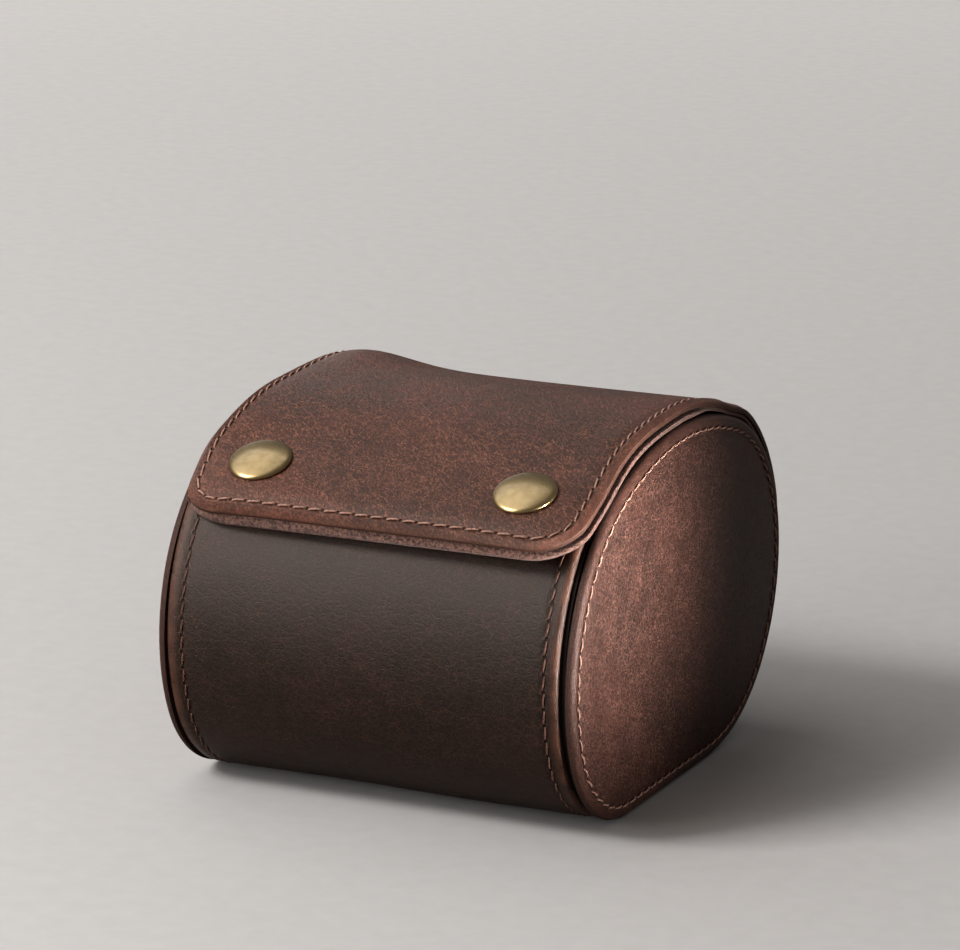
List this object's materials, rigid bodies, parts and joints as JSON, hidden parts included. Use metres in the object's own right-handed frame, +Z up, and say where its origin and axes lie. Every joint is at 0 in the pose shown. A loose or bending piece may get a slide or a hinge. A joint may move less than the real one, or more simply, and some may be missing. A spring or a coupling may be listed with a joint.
{
  "type": "leather watch travel case",
  "caption": "Rounded leather travel case for a wristwatch: stitched tube between end panels, soft flap closed by press snaps, and a loose cushion inside.",
  "frame": {"origin": "on the table under the middle of the case", "axes": "+X along the case to its right end, -Y out of the front with the snaps, +Z up"},
  "size_m": [0.0882, 0.1065, 0.076],
  "materials": {
    "wrap_leather": "dark grey-brown waxed pull-up leather",
    "end_leather": "reddish-brown waxed pull-up leather",
    "flap_leather": "dark reddish-brown waxed pull-up leather with lighter scuffs",
    "suede": "brown suede, rough cut edge",
    "microfibre": "brown microfibre suede lining",
    "board": "grey-brown stiffening board",
    "antique_brass": "antique brass, satin",
    "spring_steel": "bright spring wire",
    "cushion_fabric": "soft light brown microfibre",
    "foam": "soft foam filling"
  },
  "bodies": {
    "case": {"wrap_leather": "wrap_leather", "wrap_board": "board", "wrap_lining": "microfibre", "anchor_leather": "flap_leather", "anchor_lining": "suede", "left_end_leather": "end_leather", "left_end_backing": "suede", "left_end_board": "board", "left_end_lining": "microfibre", "left_snap_stud": "antique_brass", "left_snap_post": "antique_brass", "right_end_leather": "end_leather", "right_end_backing": "suede", "right_end_board": "board", "right_end_lining": "microfibre", "right_snap_stud": "antique_brass", "right_snap_post": "antique_brass"},
    "fold": {"fold_leather": "flap_leather", "fold_lining": "suede"},
    "flap": {"flap_leather": "flap_leather", "flap_lining": "suede", "left_snap_cap": "antique_brass", "left_snap_socket": "antique_brass", "left_snap_spring": "spring_steel", "right_snap_cap": "antique_brass", "right_snap_socket": "antique_brass", "right_snap_spring": "spring_steel"},
    "cushion": {"cushion_core": "foam", "cushion_cover": "cushion_fabric", "cushion_left_end": "end_leather", "cushion_right_end": "end_leather"}
  },
  "joints": [
    {"name": "fold_hinge", "type": "hinge", "parent": "case", "child": "fold", "pos_m": [0, 0.03245, 0.06835], "axis": [-1, 0, 0], "range_deg": [0, 80]},
    {"name": "flap_hinge", "type": "hinge", "parent": "fold", "child": "flap", "pos_m": [0, 0.02401, 0.07242], "axis": [-1, 0, 0], "range_deg": [0, 80]},
    {"name": "cushion_lift", "type": "slide", "parent": "case", "child": "cushion", "axis": [0, 0, 1], "range_m": [0, 0.02]}
  ],
  "couplings": [
    {"joint": "fold_hinge", "follows": "flap_hinge", "ratio": 1}
  ]
}
